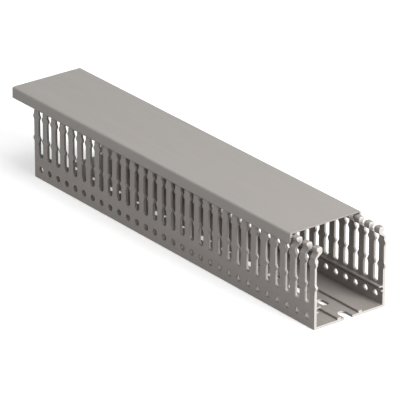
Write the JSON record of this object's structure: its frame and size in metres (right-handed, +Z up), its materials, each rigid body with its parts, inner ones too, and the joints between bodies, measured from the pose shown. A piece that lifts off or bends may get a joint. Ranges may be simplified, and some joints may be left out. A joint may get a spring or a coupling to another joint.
{
  "type": "slotted wire duct",
  "caption": "Grey slotted wiring duct with a clip-on cover slid back from one end, for routing wires in a control cabinet.",
  "frame": {"origin": "centre of the duct's underside", "axes": "+X along the duct towards the end that the cover leaves open, +Y across it, +Z up from the floor to the cover"},
  "size_m": [0.3316, 0.058, 0.058],
  "materials": {
    "duct_plastic": "matte grey rigid plastic",
    "cover_plastic": "matte light grey rigid plastic"
  },
  "bodies": {
    "duct": {"duct": "duct_plastic"},
    "cover": {"cover": "cover_plastic"}
  },
  "joints": [
    {"name": "cover_slide", "type": "slide", "parent": "duct", "child": "cover", "axis": [1, 0, 0], "range_m": [-0.283, 0.0255]}
  ]
}
